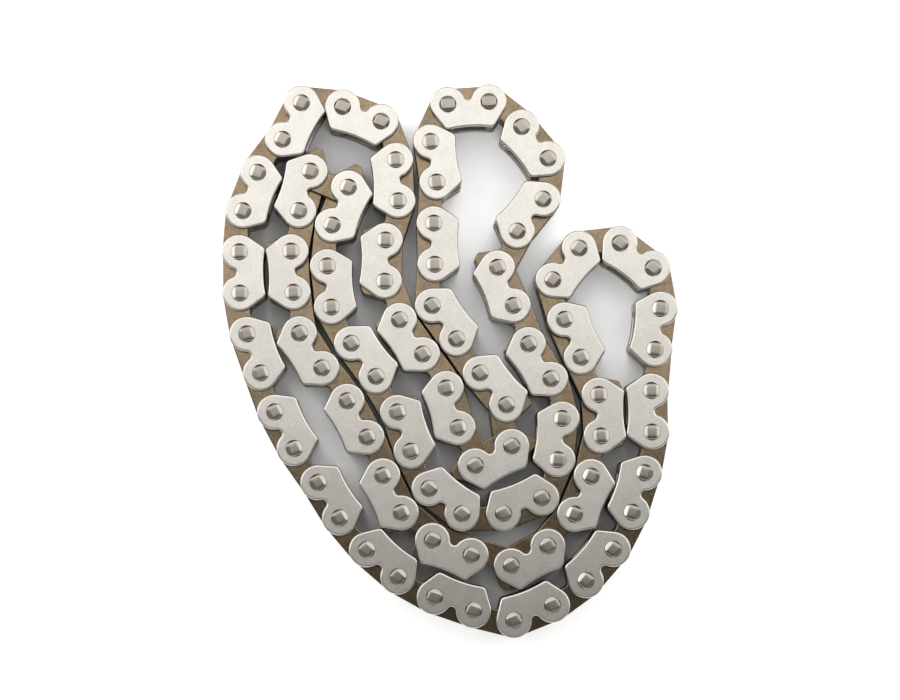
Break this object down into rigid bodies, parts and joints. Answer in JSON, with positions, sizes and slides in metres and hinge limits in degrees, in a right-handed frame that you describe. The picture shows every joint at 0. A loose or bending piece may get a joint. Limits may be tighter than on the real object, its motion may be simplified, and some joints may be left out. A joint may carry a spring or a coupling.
{
  "type": "timing chain",
  "caption": "Endless inverted-tooth timing chain with steel guide plates, bronze-brown tooth plates and riveted pins, laid on its side in loose folds.",
  "frame": {"origin": "middle of the laid chain's outline, on the plane that the lower pin ends rest on", "axes": "+Z along the pins, up from the surface; +Y towards the two open loops at the top of the lay; +X to the right seen from above"},
  "size_m": [0.07, 0.0852, 0.0093],
  "materials": {
    "guide_plate_steel": "satin",
    "tooth_plate_steel": "satin bronze-brown oxide",
    "pin_steel": "ground"
  },
  "bodies": {
    "packed_strands": {"packed_lower_guide_plates": "guide_plate_steel", "packed_upper_guide_plates": "guide_plate_steel", "packed_pins": "pin_steel", "packed_inner_plates": "tooth_plate_steel", "packed_lower_joining_plates": "tooth_plate_steel", "packed_middle_joining_plates": "tooth_plate_steel", "packed_upper_joining_plates": "tooth_plate_steel"},
    "guide_link_1": {"guide_plates_1": "guide_plate_steel", "inner_plates_1": "tooth_plate_steel", "pins_1": "pin_steel"},
    "guide_link_2": {"guide_plates_2": "guide_plate_steel", "inner_plates_2": "tooth_plate_steel", "pins_2": "pin_steel"},
    "guide_link_3": {"guide_plates_3": "guide_plate_steel", "inner_plates_3": "tooth_plate_steel", "pins_3": "pin_steel"},
    "guide_link_4": {"guide_plates_4": "guide_plate_steel", "inner_plates_4": "tooth_plate_steel", "pins_4": "pin_steel"},
    "guide_link_5": {"guide_plates_5": "guide_plate_steel", "inner_plates_5": "tooth_plate_steel", "pins_5": "pin_steel"},
    "guide_link_6": {"guide_plates_6": "guide_plate_steel", "inner_plates_6": "tooth_plate_steel", "pins_6": "pin_steel"},
    "guide_link_7": {"guide_plates_7": "guide_plate_steel", "inner_plates_7": "tooth_plate_steel", "pins_7": "pin_steel"},
    "guide_link_8": {"guide_plates_8": "guide_plate_steel", "inner_plates_8": "tooth_plate_steel", "pins_8": "pin_steel"},
    "guide_link_9": {"guide_plates_9": "guide_plate_steel", "inner_plates_9": "tooth_plate_steel", "pins_9": "pin_steel"},
    "guide_link_10": {"guide_plates_10": "guide_plate_steel", "inner_plates_10": "tooth_plate_steel", "pins_10": "pin_steel"},
    "guide_link_11": {"guide_plates_11": "guide_plate_steel", "inner_plates_11": "tooth_plate_steel", "pins_11": "pin_steel"},
    "guide_link_12": {"guide_plates_12": "guide_plate_steel", "inner_plates_12": "tooth_plate_steel", "pins_12": "pin_steel"},
    "guide_link_13": {"guide_plates_13": "guide_plate_steel", "inner_plates_13": "tooth_plate_steel", "pins_13": "pin_steel"},
    "joining_link_47": {"joining_plates_47": "tooth_plate_steel"},
    "joining_link_1": {"joining_plates_1": "tooth_plate_steel"},
    "joining_link_2": {"joining_plates_2": "tooth_plate_steel"},
    "joining_link_3": {"joining_plates_3": "tooth_plate_steel"},
    "joining_link_4": {"joining_plates_4": "tooth_plate_steel"},
    "joining_link_5": {"joining_plates_5": "tooth_plate_steel"},
    "joining_link_6": {"joining_plates_6": "tooth_plate_steel"},
    "joining_link_7": {"joining_plates_7": "tooth_plate_steel"},
    "joining_link_8": {"joining_plates_8": "tooth_plate_steel"},
    "joining_link_9": {"joining_plates_9": "tooth_plate_steel"},
    "joining_link_10": {"joining_plates_10": "tooth_plate_steel"},
    "joining_link_11": {"joining_plates_11": "tooth_plate_steel"},
    "joining_link_12": {"joining_plates_12": "tooth_plate_steel"},
    "joining_link_13": {"joining_plates_13": "tooth_plate_steel"}
  },
  "joints": [
    {"name": "left_pivot_1", "type": "hinge", "parent": "packed_strands", "child": "joining_link_47", "pos_m": [-0.01654, 0.03901, 0.00462], "axis": [0, 0, -1], "range_deg": [0, 24]},
    {"name": "left_pivot_2", "type": "hinge", "parent": "joining_link_47", "child": "guide_link_1", "pos_m": [-0.02286, 0.03959, 0.00462], "axis": [0, 0, -1], "range_deg": [0, 24]},
    {"name": "left_pivot_3", "type": "hinge", "parent": "guide_link_1", "child": "joining_link_1", "pos_m": [-0.02576, 0.03394, 0.00462], "axis": [0, 0, -1], "range_deg": [0, 24]},
    {"name": "left_pivot_4", "type": "hinge", "parent": "joining_link_1", "child": "guide_link_2", "pos_m": [-0.02954, 0.02884, 0.00462], "axis": [0, 0, -1], "range_deg": [0, 24]},
    {"name": "left_pivot_5", "type": "hinge", "parent": "guide_link_2", "child": "joining_link_2", "pos_m": [-0.0318, 0.02291, 0.00462], "axis": [0, 0, -1], "range_deg": [0, 24]},
    {"name": "left_pivot_6", "type": "hinge", "parent": "joining_link_2", "child": "guide_link_3", "pos_m": [-0.03233, 0.01658, 0.00462], "axis": [0, 0, -1], "range_deg": [0, 24]},
    {"name": "left_pivot_7", "type": "hinge", "parent": "guide_link_3", "child": "joining_link_3", "pos_m": [-0.03221, 0.01023, 0.00462], "axis": [0, 0, -1], "range_deg": [0, 24]},
    {"name": "left_pivot_8", "type": "hinge", "parent": "joining_link_3", "child": "guide_link_4", "pos_m": [-0.03113, 0.00397, 0.00462], "axis": [0, 0, -1], "range_deg": [0, 24]},
    {"name": "left_pivot_9", "type": "hinge", "parent": "guide_link_4", "child": "joining_link_4", "pos_m": [-0.02901, -0.00201, 0.00462], "axis": [0, 0, -1], "range_deg": [0, 24]},
    {"name": "left_pivot_10", "type": "hinge", "parent": "joining_link_4", "child": "guide_link_5", "pos_m": [-0.02684, -0.00798, 0.00462], "axis": [0, 0, -1], "range_deg": [0, 24]},
    {"name": "left_pivot_11", "type": "hinge", "parent": "guide_link_5", "child": "joining_link_5", "pos_m": [-0.02383, -0.01357, 0.00462], "axis": [0, 0, -1], "range_deg": [0, 24]},
    {"name": "left_pivot_12", "type": "hinge", "parent": "joining_link_5", "child": "guide_link_6", "pos_m": [-0.02019, -0.01877, 0.00462], "axis": [0, 0, -1], "range_deg": [0, 24]},
    {"name": "left_pivot_13", "type": "hinge", "parent": "guide_link_6", "child": "joining_link_6", "pos_m": [-0.01685, -0.02418, 0.00462], "axis": [0, 0, -1], "range_deg": [0, 24]},
    {"name": "left_pivot_14", "type": "hinge", "parent": "joining_link_6", "child": "guide_link_7", "pos_m": [-0.01274, -0.02902, 0.00462], "axis": [0, 0, -1], "range_deg": [0, 24]},
    {"name": "left_pivot_15", "type": "hinge", "parent": "guide_link_7", "child": "joining_link_7", "pos_m": [-0.00794, -0.03317, 0.00462], "axis": [0, 0, -1], "range_deg": [0, 24]},
    {"name": "left_pivot_16", "type": "hinge", "parent": "joining_link_7", "child": "guide_link_8", "pos_m": [-0.00239, -0.03626, 0.00462], "axis": [0, 0, -1], "range_deg": [0, 24]},
    {"name": "left_pivot_17", "type": "hinge", "parent": "guide_link_8", "child": "joining_link_8", "pos_m": [0.00362, -0.03832, 0.00462], "axis": [0, 0, -1], "range_deg": [0, 24]},
    {"name": "right_pivot_1", "type": "hinge", "parent": "packed_strands", "child": "joining_link_13", "pos_m": [0.03124, 0.01419, 0.00462], "axis": [0, 0, 1], "range_deg": [0, 30]},
    {"name": "right_pivot_2", "type": "hinge", "parent": "joining_link_13", "child": "guide_link_13", "pos_m": [0.03233, 0.00793, 0.00462], "axis": [0, 0, 1], "range_deg": [0, 30]},
    {"name": "right_pivot_3", "type": "hinge", "parent": "guide_link_13", "child": "joining_link_12", "pos_m": [0.03149, 0.00164, 0.00462], "axis": [0, 0, 1], "range_deg": [0, 30]},
    {"name": "right_pivot_4", "type": "hinge", "parent": "joining_link_12", "child": "guide_link_12", "pos_m": [0.03092, -0.00469, 0.00462], "axis": [0, 0, 1], "range_deg": [0, 30]},
    {"name": "right_pivot_5", "type": "hinge", "parent": "guide_link_12", "child": "joining_link_11", "pos_m": [0.03099, -0.01103, 0.00462], "axis": [0, 0, 1], "range_deg": [0, 30]},
    {"name": "right_pivot_6", "type": "hinge", "parent": "joining_link_11", "child": "guide_link_11", "pos_m": [0.02984, -0.01728, 0.00462], "axis": [0, 0, 1], "range_deg": [0, 30]},
    {"name": "right_pivot_7", "type": "hinge", "parent": "guide_link_11", "child": "joining_link_10", "pos_m": [0.0279, -0.02333, 0.00462], "axis": [0, 0, 1], "range_deg": [0, 30]},
    {"name": "right_pivot_8", "type": "hinge", "parent": "joining_link_10", "child": "guide_link_10", "pos_m": [0.02498, -0.02896, 0.00462], "axis": [0, 0, 1], "range_deg": [0, 30]},
    {"name": "right_pivot_9", "type": "hinge", "parent": "guide_link_10", "child": "joining_link_9", "pos_m": [0.02081, -0.03376, 0.00462], "axis": [0, 0, 1], "range_deg": [0, 30]},
    {"name": "right_pivot_10", "type": "hinge", "parent": "joining_link_9", "child": "guide_link_9", "pos_m": [0.01567, -0.03749, 0.00462], "axis": [0, 0, 1], "range_deg": [0, 30]}
  ]
}
